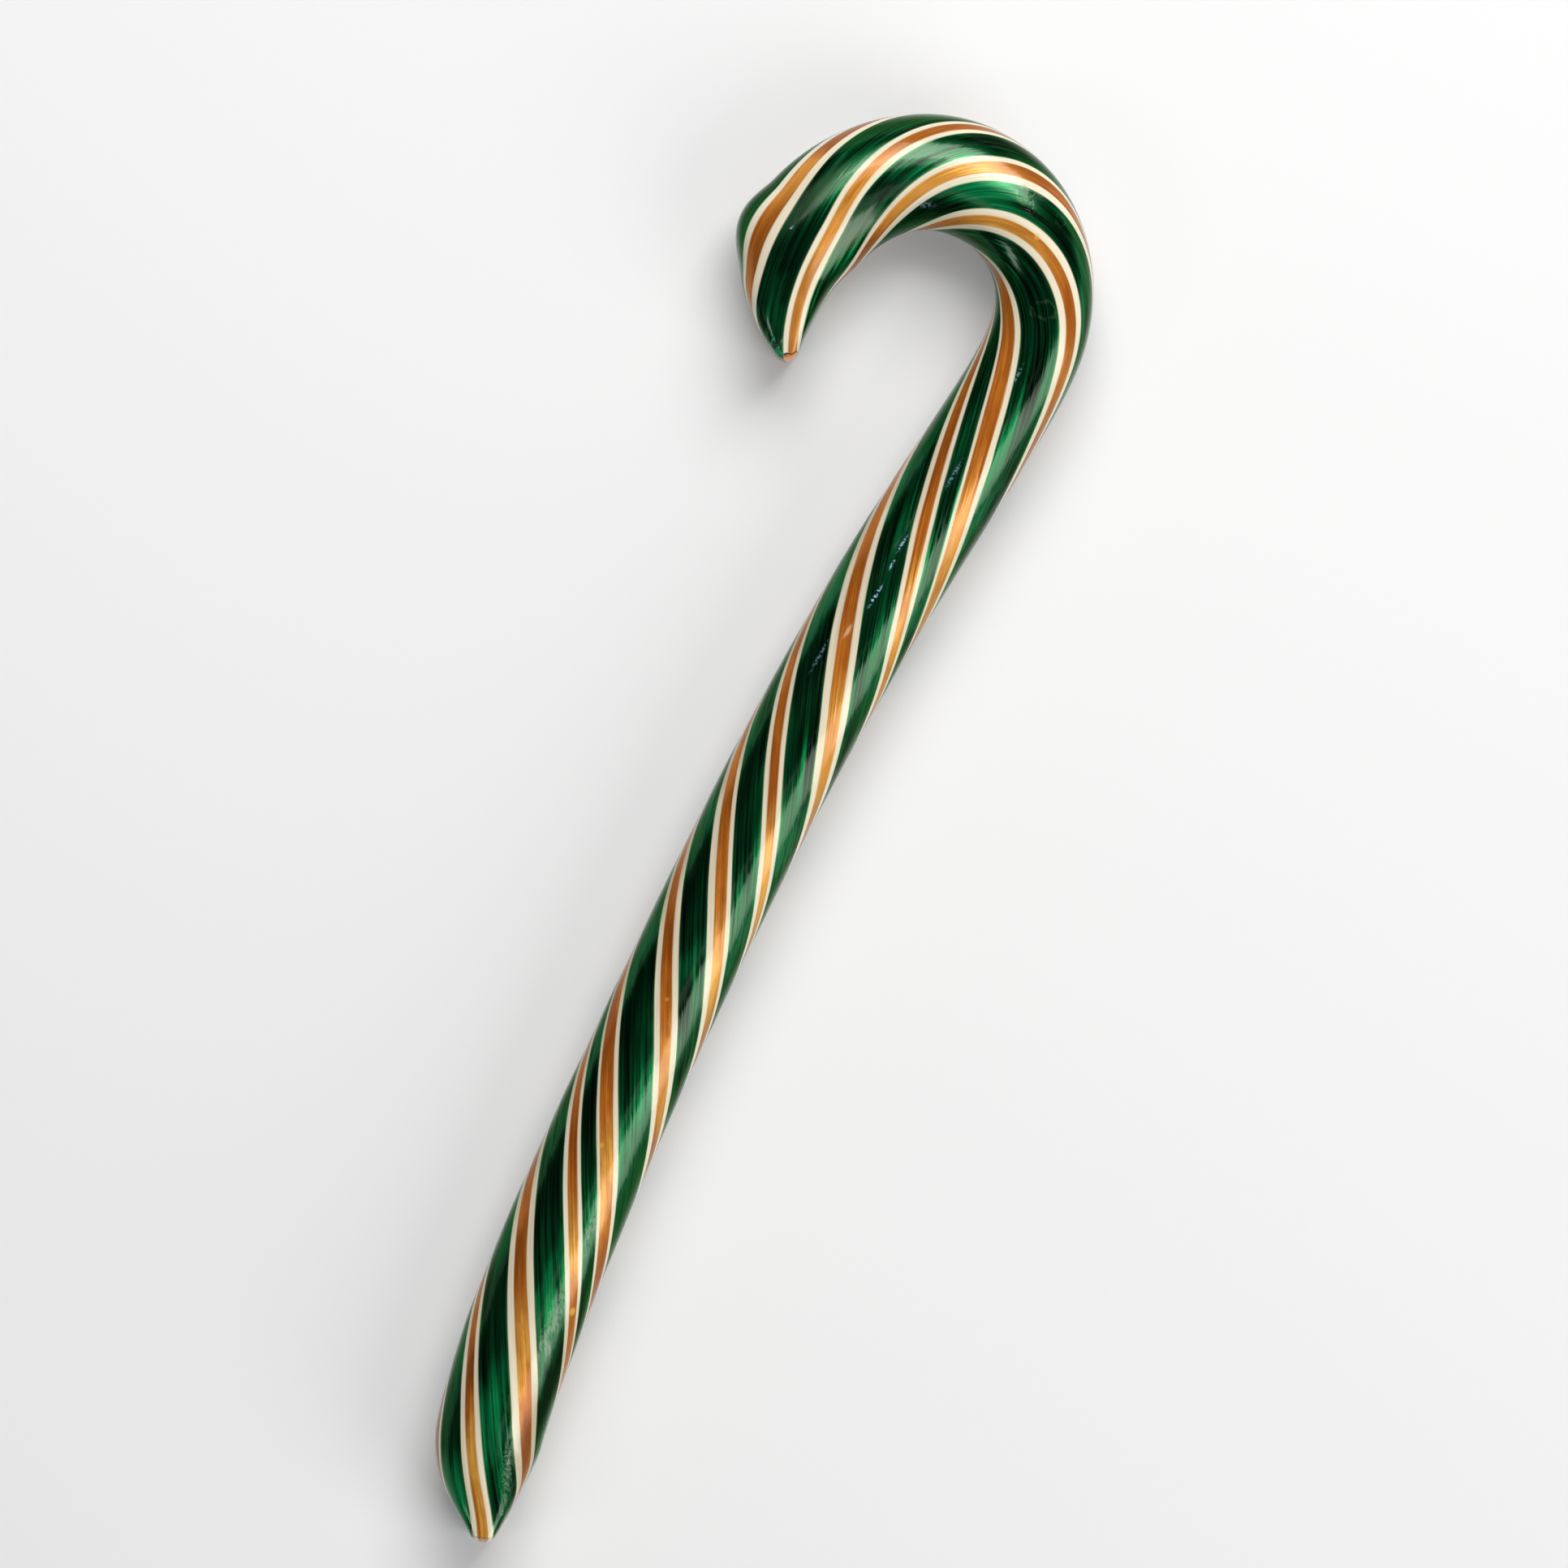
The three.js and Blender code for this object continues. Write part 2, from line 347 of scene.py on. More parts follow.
# %% The tree and its named inputs
SWEEP_INPUTS = {
    "Spine": "NodeSocketObject",
    "Section": "NodeSocketObject",
    "Rings": "NodeSocketInt",
    "Columns": "NodeSocketInt",
    "Unevenness": "NodeSocketFloat",
    "Finish": "NodeSocketMaterial",
}
twisted_stick = bpy.data.node_groups.new("twisted_stick", "GeometryNodeTree")
for name, kind in SWEEP_INPUTS.items():
    twisted_stick.interface.new_socket(name, in_out="INPUT", socket_type=kind)
twisted_stick.interface.new_socket("Stick", in_out="OUTPUT", socket_type="NodeSocketGeometry")
sweep = Tree(twisted_stick)
given = sweep.node("NodeGroupInput").outputs
print("the sweep takes", ", ".join(SWEEP_INPUTS))

# %% A flat sheet: X runs along the stick, Y round it
sheet = sweep.node(
    "GeometryNodeMeshGrid",
    {
        "Size X": 1.0,
        "Size Y": 1.0,
        "Vertices X": given["Rings"],
        "Vertices Y": sweep.plus(given["Columns"], 1),
    },
).outputs["Mesh"]
position = sweep.node("GeometryNodeInputPosition").outputs[0]
on_sheet = sweep.node("ShaderNodeSeparateXYZ", {0: position}).outputs


def step_at(across, last):
    """The number of a ring or a column, from where it lies on the sheet."""
    return sweep.math("ROUND", sweep.times(sweep.plus(across, 0.5), last))


ring = step_at(on_sheet["X"], sweep.less(given["Rings"], 1))
column = step_at(on_sheet["Y"], given["Columns"])
print(RINGS * (COLUMNS + 1), "points on the sheet")

# %% Each point looks up its ring and its column
spine_points = sweep.node("GeometryNodeObjectInfo", {"Object": given["Spine"]}).outputs["Geometry"]
section_points = sweep.node("GeometryNodeObjectInfo", {"Object": given["Section"]}).outputs["Geometry"]


def looked_up(points, value, index, kind="FLOAT"):
    """What a carrier has at the point with this number."""
    inputs = {"Geometry": points, "Value": value, "Index": index}
    return sweep.node("GeometryNodeSampleIndex", inputs, data_type=kind, domain="POINT").outputs["Value"]


def carried(points, name, index):
    """One of the numbers that a carrier's points carry."""
    number = sweep.node("GeometryNodeInputNamedAttribute", {"Name": name}, data_type="FLOAT")
    return looked_up(points, number.outputs["Attribute"], index)


centre = looked_up(spine_points, position, ring, "FLOAT_VECTOR")
heading = carried(spine_points, "heading", ring)
twist = carried(spine_points, "twist", ring)
half_height = carried(spine_points, "half_height", ring)
squeeze = carried(spine_points, "squeeze", ring)
corner = carried(spine_points, "corner", ring)
travelled = carried(spine_points, "travelled", ring)
point_phase = carried(section_points, "phase", column)
crown = carried(section_points, "crown", column)
print(len(twisted_stick.nodes), "nodes so far")

# %% [markdown]
# The paint needs to know where on the stick it is. The sheet is still flat and open here, so this is
# the place to store it: a map that runs once round the stick and once along it, for the stripes and
# the grain, and the angle from the top of the lying stick, for the marks.

# %% What the paint will read


def with_map(geometry, name, value, kind):
    """The sheet with one more number at each corner of its faces."""
    return sweep.node(
        "GeometryNodeStoreNamedAttribute",
        {"Geometry": geometry, "Name": name, "Value": value},
        data_type=kind,
        domain="CORNER",
    ).outputs["Geometry"]


map_place = sweep.xyz(sweep.over(point_phase, 2 * math.pi), travelled, 0.0)
from_top = sweep.less(point_phase, twist)
mapped = with_map(sheet, "wrap", map_place, "FLOAT2")
marked = with_map(mapped, "side", sweep.math("DEGREES", from_top), "FLOAT")
print("the sheet carries a map and an angle for the paint")

# %% [markdown]
# Then comes the shape. Cut across, the stick is round where it was only rolled. Where the shears
# squeezed it, it gets narrower but hardly lower, along a curve between an ellipse and a box. On that
# lie the low crown of the green and the unevenness of rolling by hand. Both could be bumps in the
# paint, but the light breaks on them at the rim too, so they are in the shape.

# %% The squeezed section
sine = sweep.math("SINE", from_top)
sharpened = sweep.math("POWER", sweep.math("ABSOLUTE", sine), float(SQUARENESS))
flatter = sweep.plus(sweep.times(squeeze, sharpened), 1.0)
radius = sweep.times(half_height, sweep.math("POWER", flatter, -1.0 / SQUARENESS))
# The corner that the shears left on the outside of the hook.
outside_only = sweep.math("MAXIMUM", sine, 0.0)
bulge = sweep.times(corner, sweep.times(outside_only, outside_only))
print("the corner stands", CORNER_HEIGHT, "mm out")

# %% The relief: the crown of the green, and the unevenness of rolling by hand
ROLLING_WAVES = 22.0  # along the whole stick
ROLLING_SCALE = 1.1
RELIEF_RADIUS = 6.0  # mm; the relief fades where the stick is thinner than this
rolling = sweep.node(
    "ShaderNodeTexNoise",
    {
        "Vector": sweep.xyz(
            sweep.math("COSINE", point_phase),
            sweep.math("SINE", point_phase),
            sweep.times(travelled, ROLLING_WAVES),
        ),
        "Scale": ROLLING_SCALE,
        "Detail": 2.0,
    },
).outputs[0]
uneven = sweep.times(sweep.less(rolling, 0.5), given["Unevenness"])
thickness = sweep.math("MINIMUM", sweep.over(radius, RELIEF_RADIUS * MM), 1.0)
relief = sweep.times(sweep.plus(crown, uneven), thickness)
print("the green stands", CROWN, "mm proud")

# %% Every point goes to its place round the centre line
out = sweep.plus(sweep.plus(radius, bulge), relief)
across = sweep.times(out, sine)
offset = sweep.xyz(
    sweep.times(across, sweep.math("SINE", heading)),
    sweep.times(sweep.times(across, sweep.math("COSINE", heading)), -1.0),
    sweep.times(out, sweep.math("COSINE", from_top)),
)
swept = sweep.vector("ADD", centre, offset)
# The slab: nothing lies lower than its top, and sideways there is no wall.
FAR_ASIDE = 10.0  # metres
lifted = sweep.vector("MAXIMUM", swept, (-FAR_ASIDE, -FAR_ASIDE, 0.0))

# %% The seam is closed and the tree ends
WELD = 1e-6  # metres, under which two points become one
placed = sweep.node("GeometryNodeSetPosition", {"Geometry": marked, "Position": lifted}).outputs[0]
closed = sweep.node("GeometryNodeMergeByDistance", {"Geometry": placed, "Distance": WELD}).outputs[0]
smooth = sweep.node("GeometryNodeSetShadeSmooth", {"Geometry": closed}).outputs[0]
real = sweep.node("GeometryNodeRealizeInstances", {"Geometry": smooth}).outputs[0]
dressing = {"Geometry": real, "Material": given["Finish"]}
dressed = sweep.node("GeometryNodeSetMaterial", dressing).outputs[0]
sweep.node("NodeGroupOutput", {"Stick": dressed})
print(len(twisted_stick.nodes), "nodes sweep the stick")

# %% [markdown]
# ## The finish
#
# Boiled sugar is clear and glossy. The green is so deep that it looks black where it mirrors the
# dark of the room, and it glows where its pulled fibres catch a lamp. The amber is paler and shows
# the same fibres. The cream is pulled until it is full of air, so it is opaque. Three materials on
# three sets of faces would give hard borders, and sugar bleeds a little at its seams. So one shader
# holds all three: the map says how far round and how far along a point lies, masks made from that
# choose the sugar, and a smooth clear coat covers the fibres.

# %% A tree for paint


class Paint(Tree):
    """A shader tree, with the ramps and mixes that the sugar needs."""

    def ramp(self, value, low, high, to_low=0.0, to_high=1.0, **settings):
        """From one range to another, and held at its ends outside it."""
        inputs = {"Value": value, "From Min": low, "From Max": high, "To Min": to_low, "To Max": to_high}
        return self.node("ShaderNodeMapRange", inputs, **settings).outputs[0]

    def mixed(self, factor, first, second):
        """The first colour where the factor is 0, and the second where it is 1."""
        made = self.node("ShaderNodeMix", {"Factor": factor}, data_type="RGBA")
        for key, value in (("A", first), ("B", second)):
            target = [s for s in made.inputs if s.name == key and s.type == "RGBA"][0]
            if isinstance(value, bpy.types.NodeSocket):
                self.tree.links.new(value, target)
            else:
                target.default_value = (*value, 1.0)
        return [s for s in made.outputs if s.type == "RGBA"][0]

    def strongest(self, first, *others):
        for other in others:
            first = self.math("MAXIMUM", first, other)
        return first

    def all_but(self, value):
        return self.less(1.0, value)


# %% Where a point lies on the stick
pulled_sugar = bpy.data.materials.new("pulled_sugar")
pulled_sugar.use_nodes = True
pulled_sugar.node_tree.nodes.clear()
paint = Paint(pulled_sugar.node_tree)
wrap = paint.node("ShaderNodeUVMap", uv_map="wrap").outputs[0]
on_map = paint.node("ShaderNodeSeparateXYZ", {0: wrap}).outputs
phase = paint.times(on_map["X"], 360.0)
distance = paint.times(on_map["Y"], LENGTH)
side = paint.node("ShaderNodeAttribute", attribute_name="side").outputs["Fac"]
in_space = paint.node("ShaderNodeTexCoord").outputs["Object"]
print("the paint reads", wrap.node.uv_map, "and side")

# %% [markdown]
# ## The grain
#
# Pulling draws the sugar out into fine fibres and broader ropes, and leaves it a little cloudy. A
# noise in plain space would cut across the twist. So it is read in a space in which the fibres run
# straight, with two numbers round the stick and one along it, and the one along it is divided by how
# far the grain is drawn out. Noise stays near 0.5, so the ramps on it spread a narrow range round
# that over the full contrast: the narrower the range, the harder the change.

# %% Noise that follows the twist
GRAIN_RADIUS = 7.0  # mm, about the stick's own
FIBRE_SHARE, ROPE_SHARE = 0.55, 0.45
turn = paint.times(on_map["X"], 2 * math.pi)
round_x = paint.times(paint.math("COSINE", turn), GRAIN_RADIUS)
round_y = paint.times(paint.math("SINE", turn), GRAIN_RADIUS)


def grain(stretch, scale, detail=4.0, roughness=0.6, seed=0.0):
    """Noise along the twist. The greater the stretch is, the longer are its streaks."""
    where = paint.xyz(round_x, round_y, paint.plus(paint.over(distance, stretch), seed))
    inputs = {"Vector": where, "Scale": scale, "Detail": detail, "Roughness": roughness}
    return paint.node("ShaderNodeTexNoise", inputs).outputs[0]


def flecks(scale, low, high):
    """Fine grains that lie any way round, about this many to a metre."""
    found = paint.node("ShaderNodeTexNoise", {"Vector": in_space, "Scale": scale, "Detail": 2.0})
    return paint.ramp(found.outputs[0], low, high)


fibres = grain(50.0, 3.4, 2.5)
ropes = grain(30.0, 0.7, 3.0, seed=7.0)
clouds = grain(3.0, 0.3, seed=11.0)
streaks = paint.plus(paint.times(fibres, FIBRE_SHARE), paint.times(ropes, ROPE_SHARE))
print(len(pulled_sugar.node_tree.nodes), "nodes so far, with fibres, ropes and clouds among them")

# %% [markdown]
# ## Which sugar is where
#
# Each stripe is a rope of amber in a skin of cream, so on the surface the cream shows as two lines. A
# picture could be wrapped round the stick, but it would blur at the nose. One small group of nodes
# answers for one stripe, as sharp as the render asks, and the strongest answer of the six counts.

# %% One stripe


def socket_group(name, inputs, outputs):
    """An empty group of nodes with these numbers going in and coming out."""
    group = bpy.data.node_groups.new(name, "ShaderNodeTree")
    for key in inputs:
        group.interface.new_socket(key, in_out="INPUT", socket_type="NodeSocketFloat")
    for key in outputs:
        group.interface.new_socket(key, in_out="OUTPUT", socket_type="NodeSocketFloat")
    return group


def off_centre(tree, angle, middle):
    """How many degrees an angle is from a middle, the short way round."""
    return tree.math("WRAP", tree.less(angle, middle), 180.0, -180.0)


def stripe_group():
    """How much of a point is amber, lies in the cream-edged band and is the seam outside it."""
    inputs = ("Phase", "Middle", "Amber", "Before", "After", "Blur", "Seam")
    group = socket_group("stripe", inputs, ("Amber", "Band", "Seam"))
    mask = Paint(group)
    asked = mask.node("NodeGroupInput").outputs
    off = off_centre(mask, asked["Phase"], asked["Middle"])
    half = mask.over(asked["Amber"], 2.0)

    def inside(depth):
        blur = asked["Blur"]
        return mask.ramp(depth, mask.times(blur, -1.0), blur, interpolation_type="SMOOTHSTEP")

    left = mask.plus(off, mask.plus(half, asked["Before"]))
    right = mask.less(mask.plus(half, asked["After"]), off)
    depth = mask.math("MINIMUM", left, right)
    band = inside(depth)
    near = mask.ramp(depth, mask.times(asked["Seam"], -1.0), 0.0)
    amber = inside(mask.less(half, mask.math("ABSOLUTE", off)))
    mask.node("NodeGroupOutput", {"Amber": amber, "Band": band, "Seam": mask.less(near, band)})
    return group


# %% All the stripes
EDGE_BLUR = 1.0  # degrees that an edge is soft to either side
SEAM_WIDTH = 3.0  # degrees of brighter green along a stripe, where the two sugars meet
EDGE_WANDER = 0.9  # degrees that the edges wander
shaky = grain(9.0, 0.35, 3.0, seed=3.0)
shaky = paint.plus(phase, paint.ramp(shaky, 0.3, 0.7, -EDGE_WANDER, EDGE_WANDER))
one_stripe = stripe_group()
answers = []
for middle, amber_width, before, after in STRIPES:
    inputs = {
        "Phase": shaky,
        "Middle": middle,
        "Amber": amber_width,
        "Before": before,
        "After": after,
        "Blur": EDGE_BLUR,
        "Seam": SEAM_WIDTH,
    }
    answers.append(paint.node("ShaderNodeGroup", inputs, node_tree=one_stripe).outputs)
amber = paint.strongest(*[answer["Amber"] for answer in answers])
band = paint.strongest(*[answer["Band"] for answer in answers])
seam = paint.strongest(*[answer["Seam"] for answer in answers])
outside = paint.all_but(band)
print(len(answers), "stripes share a group of", len(one_stripe.nodes), "nodes")

# %% [markdown]
# ## Marks, painted light and painted shade
#
# No metre of pulled sugar is like the next: a bubble burst here, or the slab scuffed it there. Soft
# spots also paint light and shade into the colour: a brighter glow here, a darker shade there. Such
# marks could be painted by hand on a picture. Here each is one row of numbers, a soft spot that the
# shader works out, so that a mark can be moved, widened or left out without painting anything again.

# %% Soft spots
SPOT_HEART = 0.25  # the share of its reach where a spot has its full strength
LENGTHWISE_WANDER = 0.12  # mm that an edge wanders lengthwise for each degree sideways


def spot_group():
    """How far a point is from the middle of a spot, 0 there and 1 at the spot's edge."""
    inputs = ("Distance", "Side", "At", "Around", "Half Length", "Half Width")
    group = socket_group("spot", inputs, ("Reach",))
    mask = Paint(group)
    asked = mask.node("NodeGroupInput").outputs
    lengthwise = mask.over(mask.less(asked["Distance"], asked["At"]), asked["Half Length"])
    crosswise = mask.over(off_centre(mask, asked["Side"], asked["Around"]), asked["Half Width"])
    reach = mask.vector("LENGTH", mask.xyz(lengthwise, crosswise, 0.0), output=1)
    mask.node("NodeGroupOutput", {"Reach": reach})
    return group


one_spot = spot_group()


def spots(rows, wander=0.0, rim=0.0):
    """The strongest of these soft spots, or of their rims.

    A row holds how far along the stick a spot is, how many degrees round from the top, half its
    length in millimetres, half its width in degrees and its strength. The wander is how many
    degrees the edges stray, and the rim is half the thickness of a ring as a share of the spot.
    """
    shake = paint.ramp(grain(4.0, 0.8, 3.0, seed=21.0), 0.3, 0.7, -wander, wander)
    shaken_distance = paint.plus(distance, paint.times(shake, LENGTHWISE_WANDER))
    shaken_side = paint.plus(side, shake)
    found = []
    for at, around, half_length, half_width, strength in rows:
        inputs = {
            "Distance": shaken_distance,
            "Side": shaken_side,
            "At": at,
            "Around": around,
            "Half Length": half_length,
            "Half Width": half_width,
        }
        reach = paint.node("ShaderNodeGroup", inputs, node_tree=one_spot).outputs[0]
        if rim:
            reach = paint.over(paint.math("ABSOLUTE", paint.less(reach, 1.0)), rim)
        found.append(paint.ramp(reach, SPOT_HEART, 1.0, strength, 0.0, interpolation_type="SMOOTHSTEP"))
    return paint.strongest(0.0, *found)


print("a spot is a group of", len(one_spot.nodes), "nodes")

# %% [markdown]
# ## The green
#
# The deep green is almost black where it is clear and lights up along its fibres. Soft spots paint
# more light into it, a painted glow where it turns emerald, and paint shade where it turns near black.
# One colour with a random blotch would be quicker, but the painted glow and shade lie in given
# places, so they are spots of their own.

# %% The colours of the green
DARK_GREEN, CLEAR_GREEN = (0.002, 0.012, 0.004), (0.0, 0.12, 0.034)
# The two emeralds are the colours of a painted glow.
DIM_GLOW_EMERALD, BRIGHT_GLOW_EMERALD = (0.0, 0.15, 0.045), (0.003, 0.255, 0.085)
SEAM_GREEN = (0.02, 0.36, 0.11)
# Near black, the colour of painted shade.
SHADE_GREEN = (0.001, 0.007, 0.003)
# Painted glow: where these spots lie, the green is painted a brighter emerald that stands for light.
GREEN_GLOW_SPOTS = [
    (4.5, -44, 8, 46, 1.0), (14, -5, 14, 26, 0.85), (34, 8, 16, 16, 0.45),
    (52, 20, 20, 14, 0.35), (77, 4, 9, 15, 0.6), (95, 50, 26, 13, 0.45),
    (88, -52, 60, 16, 0.2), (140, 50, 24, 12, 0.45), (140, -54, 40, 18, 0.38),
    (196, -4, 13, 28, 1.0), (209, 16, 10, 26, 0.7), (176, 40, 10, 16, 0.35),
    (229, 14, 7, 18, 0.35),
]
# Painted shade: where these spots lie, the green is painted near black.
GREEN_SHADE_SPOTS = [
    (23, 56, 14, 24, 1.0), (8, 50, 10, 20, 1.0), (38, 50, 10, 12, 0.5),
    (168, 14, 9, 14, 0.6), (196, 50, 8, 14, 0.6), (222, 0, 10, 34, 0.5),
    (183, 30, 8, 16, 0.4), (62, 52, 10, 9, 0.5), (112, 46, 9, 8, 0.5),
    (66, -28, 42, 28, 0.55), (178, -6, 12, 26, 0.4), (20, 27, 15, 12, 0.35),
    (15.5, 40, 8, 14, 0.8),
]
painted_glow = paint.times(spots(GREEN_GLOW_SPOTS, wander=7.0), paint.ramp(streaks, 0.38, 0.58, 0.65, 1.0))
painted_shade = paint.times(spots(GREEN_SHADE_SPOTS, wander=7.0), 0.9)
glow_emerald = paint.mixed(paint.ramp(fibres, 0.35, 0.65), DIM_GLOW_EMERALD, BRIGHT_GLOW_EMERALD)
green = paint.mixed(paint.ramp(streaks, 0.40, 0.60), DARK_GREEN, CLEAR_GREEN)
# Painted glow: the emerald is mixed in where the glow spots lie.
green = paint.mixed(painted_glow, green, glow_emerald)
green = paint.mixed(paint.times(seam, 0.35), green, SEAM_GREEN)
# Painted shade: the near black is mixed in where the shade spots lie.
green = paint.mixed(painted_shade, green, SHADE_GREEN)
print(len(GREEN_GLOW_SPOTS), "airy spots and", len(GREEN_SHADE_SPOTS), "deep ones in the green")

# %% [markdown]
# ## The amber
#
# Browned sugar gives the amber its colour. One amber from end to end would look printed on, so each
# of its colours has a twin painted as lit, and soft spots say where painted light, a painted
# highlight or painted shade lies on the stick.

# %% The colours of the amber
# Each colour here has a twin that is the same amber painted as lit.
AMBER, LIT_AMBER = (0.39, 0.094, 0.008), (0.59, 0.225, 0.028)
LIGHT_AMBER, LIT_LIGHT_AMBER = (0.60, 0.195, 0.022), (0.87, 0.50, 0.10)
CLOUDY_AMBER, LIT_CLOUDY_AMBER = (0.25, 0.047, 0.004), (0.40, 0.11, 0.010)
# The colours of a painted highlight and of painted shade on the amber.
HIGHLIGHT_AMBER = (0.97, 0.42, 0.07)
SHADE_AMBER = (0.21, 0.048, 0.006)
# Painted light: spots where the amber takes its lit twins.
AMBER_LIGHT_SPOTS = [
    (14, 0, 30, 32, 1.0), (46, 20, 28, 34, 0.9), (105, 40, 85, 44, 0.9),
    (200, -12, 30, 62, 1.0), (226, -2, 16, 54, 0.65),
]
# Painted highlight on the amber.
AMBER_HIGHLIGHT_SPOTS = [(203, -22, 22, 38, 0.7), (214, 46, 9, 20, 0.6)]
# Painted shade on the amber.
AMBER_SHADE_SPOTS = [
    (27, -42, 19, 20, 0.65), (14, 46, 9, 20, 0.85), (47, 4, 9, 14, 0.35), (176, 46, 8, 16, 0.35),
]
painted_light = spots(AMBER_LIGHT_SPOTS, wander=8.0)
light_amber = paint.mixed(painted_light, LIGHT_AMBER, LIT_LIGHT_AMBER)
cloudy_amber = paint.mixed(painted_light, CLOUDY_AMBER, LIT_CLOUDY_AMBER)
gold = paint.mixed(painted_light, AMBER, LIT_AMBER)
gold = paint.mixed(paint.ramp(streaks, 0.38, 0.62), gold, light_amber)
gold = paint.mixed(paint.ramp(clouds, 0.42, 0.58, 0.0, 0.55), gold, cloudy_amber)
gold = paint.mixed(spots(AMBER_HIGHLIGHT_SPOTS, wander=8.0), gold, HIGHLIGHT_AMBER)
gold = paint.mixed(spots(AMBER_SHADE_SPOTS, wander=8.0), gold, SHADE_AMBER)
print(len(AMBER_HIGHLIGHT_SPOTS), "bright spots and", len(AMBER_SHADE_SPOTS), "burnt ones in the amber")

# %% [markdown]
# ## The cream
#
# The cream is the same sugar pulled until air makes it white. Its lines are thin skins. On the left
# of the stick and on the right of the foot, a darker cream is mixed in as painted shade.

# %% The colours of the cream
CREAM, LIGHT_CREAM = (0.78, 0.715, 0.56), (0.87, 0.82, 0.68)
CLOUDY_CREAM = (0.70, 0.62, 0.46)
# Painted shade in the cream: its colour and the spots where it lies.
SHADE_CREAM = (0.46, 0.38, 0.26)
CREAM_SHADE_SPOTS = [(98, -82, 110, 60, 0.9), (95, -24, 130, 60, 0.35), (16, 58, 24, 40, 0.9)]
milk = paint.mixed(paint.ramp(fibres, 0.3, 0.7), CREAM, LIGHT_CREAM)
milk = paint.mixed(paint.ramp(clouds, 0.35, 0.65, 0.0, 0.4), milk, CLOUDY_CREAM)
milk = paint.mixed(spots(CREAM_SHADE_SPOTS, wander=6.0), milk, SHADE_CREAM)
print(len(CREAM_SHADE_SPOTS), "places where the cream is thin")

# %% [markdown]
# ## Dots and scuffs in the stripes
#
# A few drops of amber strayed into the cream, and the slab scuffed the stripes here and there. They
# are spots too, too small to be worth a shape.

# %% Dots and scuffs
DOT_ON_CREAM, DOT_ON_AMBER = (0.7, 0.5, 0.2), (0.95, 0.55, 0.10)
SCUFFED_AMBER = (0.85, 0.66, 0.42)
GOLDEN_DOTS = [
    (32.7, 48, 0.8, 6, 0.55), (54, 2, 0.5, 4, 0.4), (74.5, 0, 0.4, 3, 0.4), (184.8, 4, 0.6, 4, 0.6),
]
SCUFFS = [(127, -11, 1.4, 2.6, 0.5), (52.6, 52, 0.7, 4, 0.3), (171, -18, 1.2, 3, 0.3)]
dots = spots(GOLDEN_DOTS)
milk = paint.mixed(dots, milk, DOT_ON_CREAM)
gold = paint.mixed(dots, gold, DOT_ON_AMBER)
gold = paint.mixed(spots(SCUFFS, wander=1.5), gold, SCUFFED_AMBER)
print(len(GOLDEN_DOTS), "golden dots and", len(SCUFFS), "scuffs")

# %% [markdown]
# ## The three sugars together
#
# The masks now choose the sugar. Pulled sugar shines like satin, from its fibres under the clear
# skin, and that shine has the colour of the sugar. A plain gloss is white and would grey the green.
# So the shader's metallic value, whose gloss takes the base colour, stands for the fibres. It is high
# in the clear green, lower in the amber and nothing in the opaque cream. A grey painted reflection
# of a lamp lies as a haze on the green of the hook, and dulls its shine.

# %% The three sugars and the painted reflection
CLEAR_SHINE, GLOW_SHINE_LOSS, AMBER_SHINE = 0.95, 0.8, 0.45
# Painted reflection: the grey of a lamp's veil on the hook's green, and the spots where it lies.
REFLECTION_GREY = (0.06, 0.10, 0.06)
REFLECTION_SPOTS = [(215.5, 22, 9, 17, 0.5), (215, -38, 10, 18, 0.7), (203, 14, 6, 12, 0.3)]
painted_reflection = spots(REFLECTION_SPOTS, wander=5.0)
colour = paint.mixed(band, green, paint.mixed(amber, milk, gold))
colour = paint.mixed(paint.times(painted_reflection, outside), colour, REFLECTION_GREY)
green_shine = paint.less(CLEAR_SHINE, paint.times(painted_glow, GLOW_SHINE_LOSS))
shine = paint.plus(paint.times(outside, green_shine), paint.times(amber, AMBER_SHINE))
print(len(REFLECTION_SPOTS), "hazy places")

# %% [markdown]
# ## Small marks on top
#
# Short scratches in the coat carry bluish glints of a lamp, painted as highlights. Pits lie in the
# green, with a pale sheen of the light they catch painted in, and a few bubbles burst and left a ring.
# Bits of mesh could make them, but they are hardly proud of the coat. A ring is the rim of a spot, so
# the same group makes it. Fine flecks break every mark up, because an even blot would look like paint.

# %% Painted glints, pits with a painted sheen, and rings
# The bluish colour of painted glints and the pale green of a sheen painted in the pits; the ring green
# is the bubbles' own.
PAINTED_GLINT_BLUE, SHEEN_GREEN, RING_GREEN = (0.34, 0.50, 0.78), (0.22, 0.33, 0.23), (0.12, 0.25, 0.11)
# Painted highlights: short bluish glints of a lamp on scratches in the coat.
PAINTED_GLINT_SPOTS = [
    (132.6, -5.5, 2.4, 2.8, 1.0), (137.3, -7.0, 1.2, 2.2, 0.9), (140.2, -10, 1.8, 2.4, 0.7),
    (122.5, -25, 3.4, 3.0, 0.45), (151, -4, 3.2, 3.0, 0.4), (166, -2, 2.8, 2.5, 0.4),
    (220.5, 15, 0.5, 1.8, 0.9), (202, -36, 2.5, 6, 0.4), (4.0, 21, 0.45, 3, 0.35),
]
